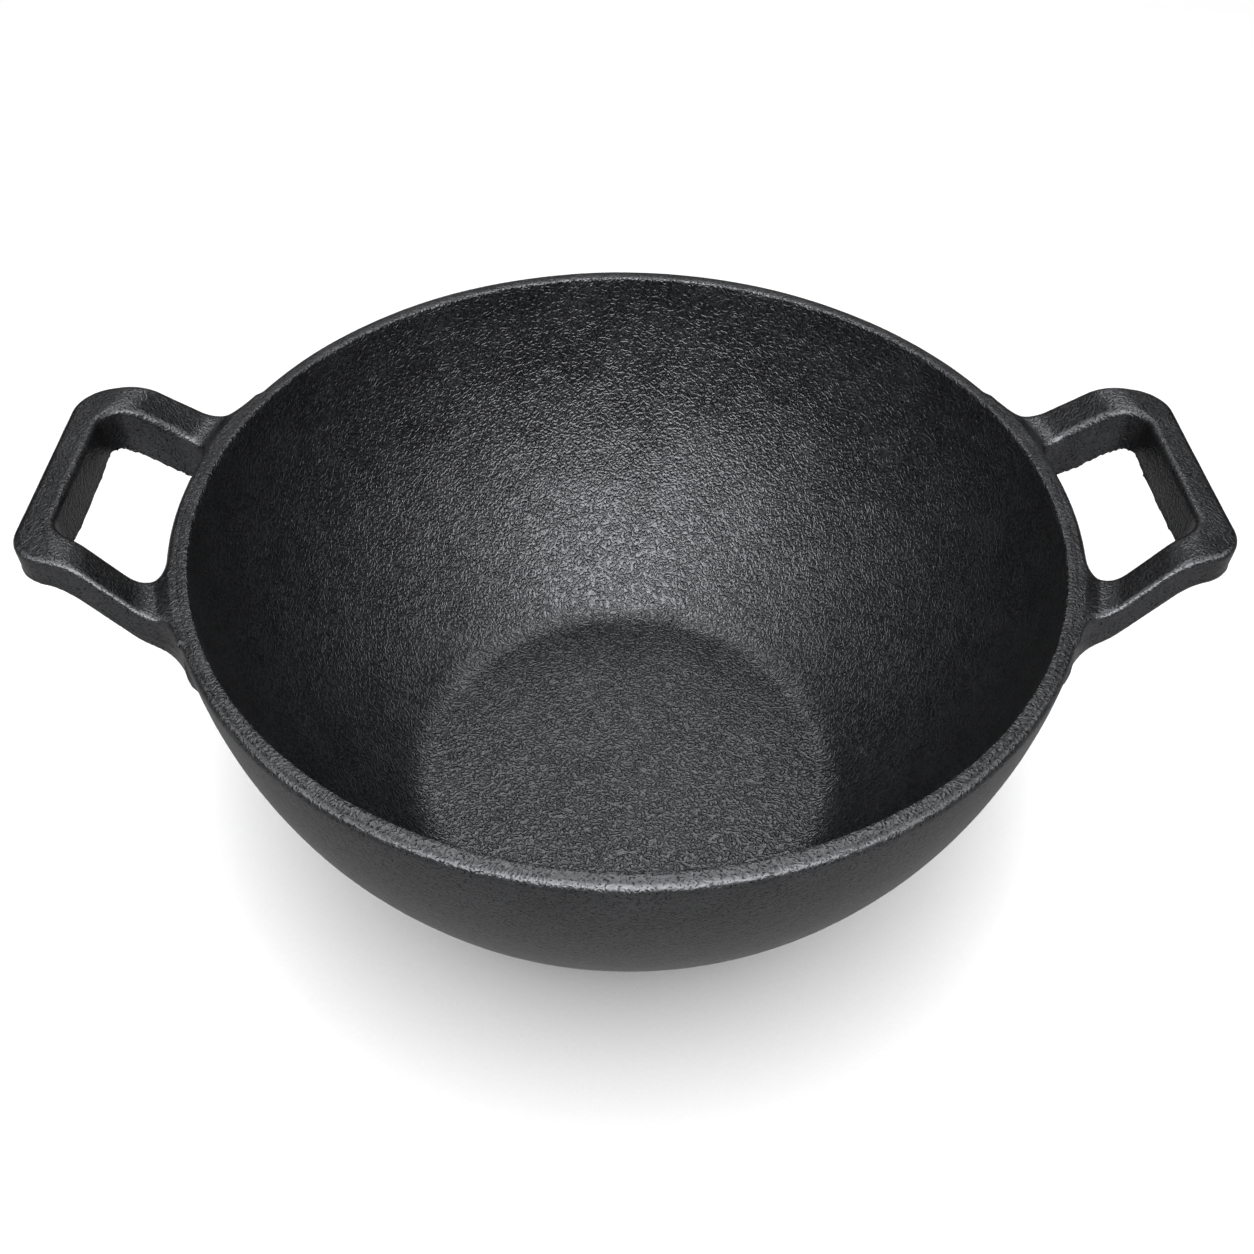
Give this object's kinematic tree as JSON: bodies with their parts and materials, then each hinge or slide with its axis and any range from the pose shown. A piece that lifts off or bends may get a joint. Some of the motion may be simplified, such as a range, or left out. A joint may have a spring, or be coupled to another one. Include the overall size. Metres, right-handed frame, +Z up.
{
  "type": "kadai",
  "caption": "Deep round cast iron kadai with a flat floor, a flat-topped rim and trapezoid loop handles that rise from the rim to a level grip.",
  "frame": {"origin": "middle of the base, on the surface that the kadai stands on", "axes": "+Z up along the bowl's axis, +X through the handles towards right_handle, +Y away from the viewer"},
  "size_m": [0.324, 0.256, 0.1378],
  "materials": {
    "seasoned_iron": "black seasoned sand casting with a pebbled grain, satin"
  },
  "bodies": {
    "root": {"bowl": "seasoned_iron", "left_handle": "seasoned_iron", "right_handle": "seasoned_iron"}
  },
  "joints": []
}
